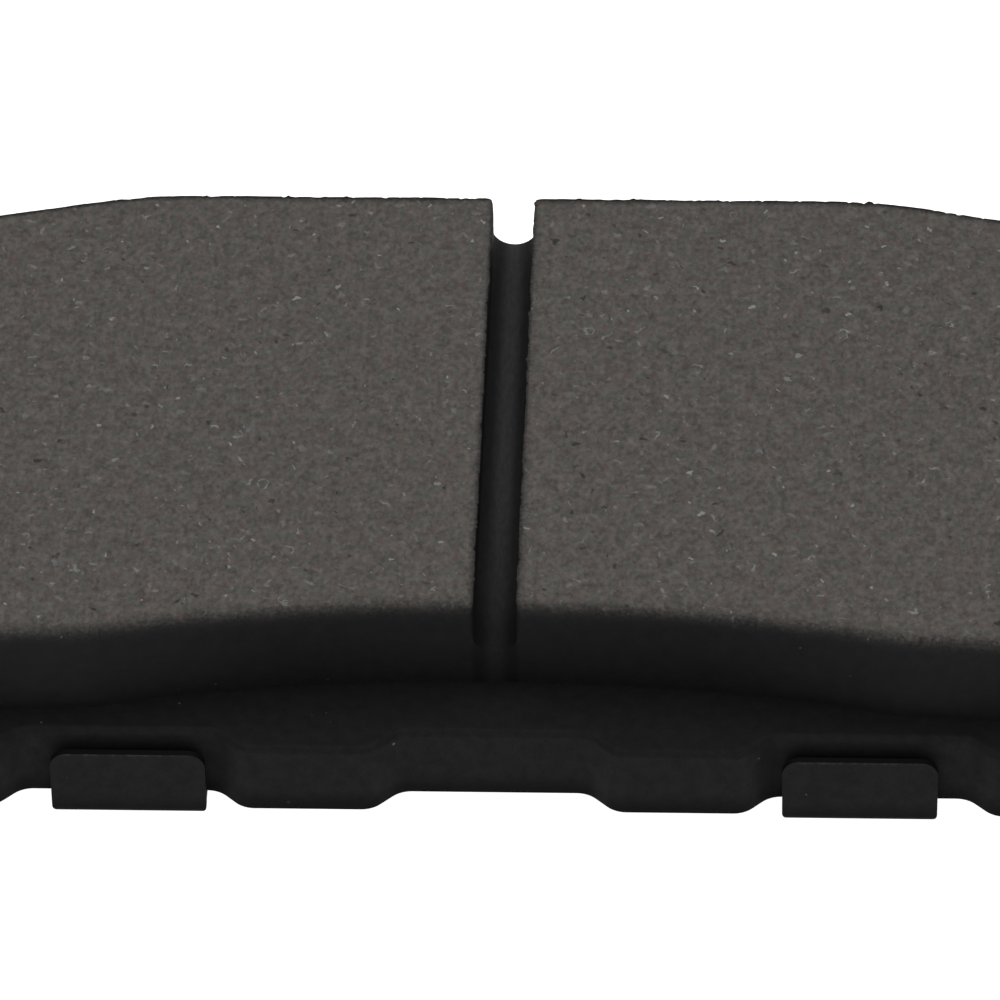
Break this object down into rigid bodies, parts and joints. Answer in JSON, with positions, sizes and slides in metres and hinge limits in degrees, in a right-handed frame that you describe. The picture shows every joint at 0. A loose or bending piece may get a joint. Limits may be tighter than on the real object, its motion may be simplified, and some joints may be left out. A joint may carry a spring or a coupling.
{
  "type": "disc brake pad",
  "caption": "Disc brake pad: slotted friction lining on a black steel backing plate with clip-on shims and a wear indicator.",
  "frame": {"origin": "where the caliper piston's axis meets the back face of the outer shim, at the middle of the lining's height", "axes": "+X along the pad, to the right as seen from the rotor with the wheel's centre below; +Y outward from the rotor's axis; +Z from the piston toward the rotor"},
  "size_m": [0.143, 0.0639, 0.0165],
  "materials": {
    "plate_coating": "satin",
    "adhesive": "matte",
    "underlayer": "matte",
    "lining": "matte",
    "shim_rubber": "matte",
    "shim_steel": "satin",
    "shim_coating": "satin",
    "spring_steel": "satin",
    "rivet_steel": "satin"
  },
  "bodies": {
    "root": {"backing_plate": "plate_coating", "bonding_layer": "adhesive", "friction_underlayer": "underlayer", "friction_block_left": "lining", "friction_block_right": "lining", "inner_shim_rubber_back": "shim_rubber", "inner_shim_core": "shim_steel", "inner_shim_rubber_front": "shim_rubber", "outer_shim": "shim_coating", "wear_indicator": "spring_steel", "wear_indicator_rivet": "rivet_steel"}
  },
  "joints": []
}
